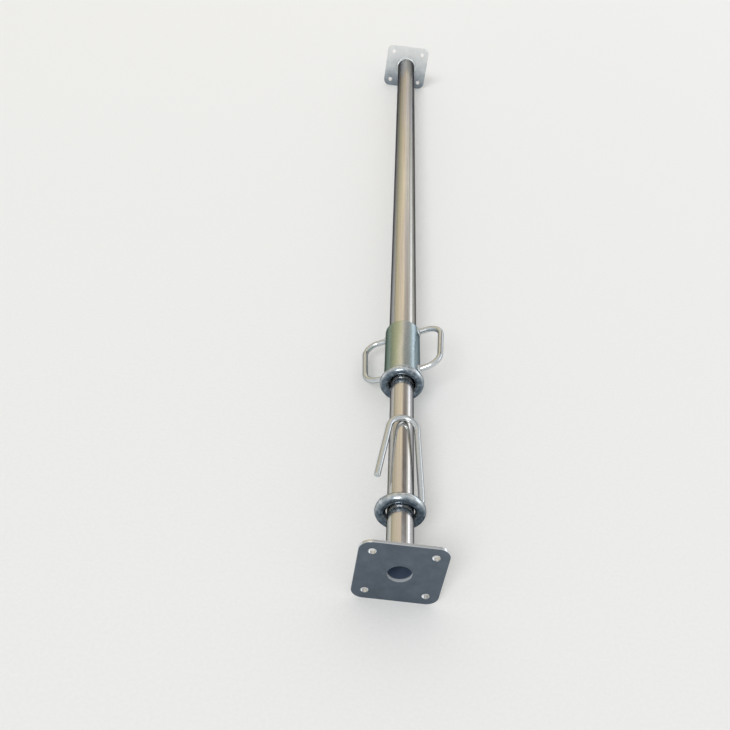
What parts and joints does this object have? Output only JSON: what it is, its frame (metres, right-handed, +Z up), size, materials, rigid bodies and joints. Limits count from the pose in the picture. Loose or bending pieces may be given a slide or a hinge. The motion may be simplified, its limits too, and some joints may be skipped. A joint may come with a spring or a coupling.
{
  "type": "adjustable steel prop",
  "caption": "Telescopic steel shoring prop lying on its side, with square end plates, a covered screw collar with two handles, a hook pin and loose rings.",
  "frame": {"origin": "middle of the closed prop's box, on the ground under it; the prop lies on one edge of each end plate", "axes": "+Y along the prop from the head plate (inner tube) to the base plate (outer tube), +Z up, +X to the right as seen from the head plate"},
  "size_m": [0.1662, 2.28, 0.15],
  "materials": {
    "zinc_tube": "bright zinc plated drawn tube, satin",
    "zinc_plate": "zinc plated hot rolled plate, blue-grey satin",
    "collar": "zinc plated cast iron, yellow-green passivated",
    "forged_ring": "zinc plated forged steel",
    "round_bar": "bright zinc plated drawn bar",
    "weld": "zinc plated weld bead",
    "thread": "zinc plated rolled thread, oiled",
    "stop_steel": "turned steel, plain"
  },
  "bodies": {
    "outer": {"base_plate": "zinc_plate", "base_weld": "weld", "outer_tube": "zinc_tube", "joint_weld": "weld", "threaded_end": "thread"},
    "thrust": {"thrust_ring": "forged_ring"},
    "collar": {"collar_nut": "collar", "right_handle": "round_bar", "left_handle": "round_bar", "right_handle_welds": "weld", "left_handle_welds": "weld"},
    "stop": {"pull_out_stop": "stop_steel"},
    "inner": {"inner_tube": "zinc_tube", "head_plate": "zinc_plate", "head_weld": "weld", "head_side_retainer": "stop_steel", "foot_side_retainer": "stop_steel"},
    "hook": {"hook_pin": "round_bar"},
    "loose": {"loose_ring": "forged_ring"}
  },
  "joints": [
    {"name": "collar_travel", "type": "slide", "parent": "outer", "child": "thrust", "axis": [0, -1, 0], "range_m": [0, 0.112]},
    {"name": "collar_turn", "type": "hinge", "parent": "thrust", "child": "collar", "pos_m": [0, -0.571, 0.075], "axis": [0, -1, 0], "range_deg": [0, 5040]},
    {"name": "extend", "type": "slide", "parent": "outer", "child": "stop", "axis": [0, -1, 0], "range_m": [0, 1.48]},
    {"name": "head_swivel", "type": "hinge", "parent": "stop", "child": "inner", "pos_m": [0, -0.14, 0.075], "axis": [0, -1, 0], "continuous": true},
    {"name": "hook_swing", "type": "hinge", "parent": "inner", "child": "hook", "pos_m": [0, -0.9885, 0.075], "axis": [1, 0, 0], "range_deg": [0, 80]},
    {"name": "ring_slide", "type": "slide", "parent": "inner", "child": "loose", "axis": [0, -1, 0], "range_m": [0, 0.112]}
  ],
  "couplings": [
    {"joint": "collar_travel", "follows": "collar_turn", "m_per_rad": 0.001273}
  ]
}
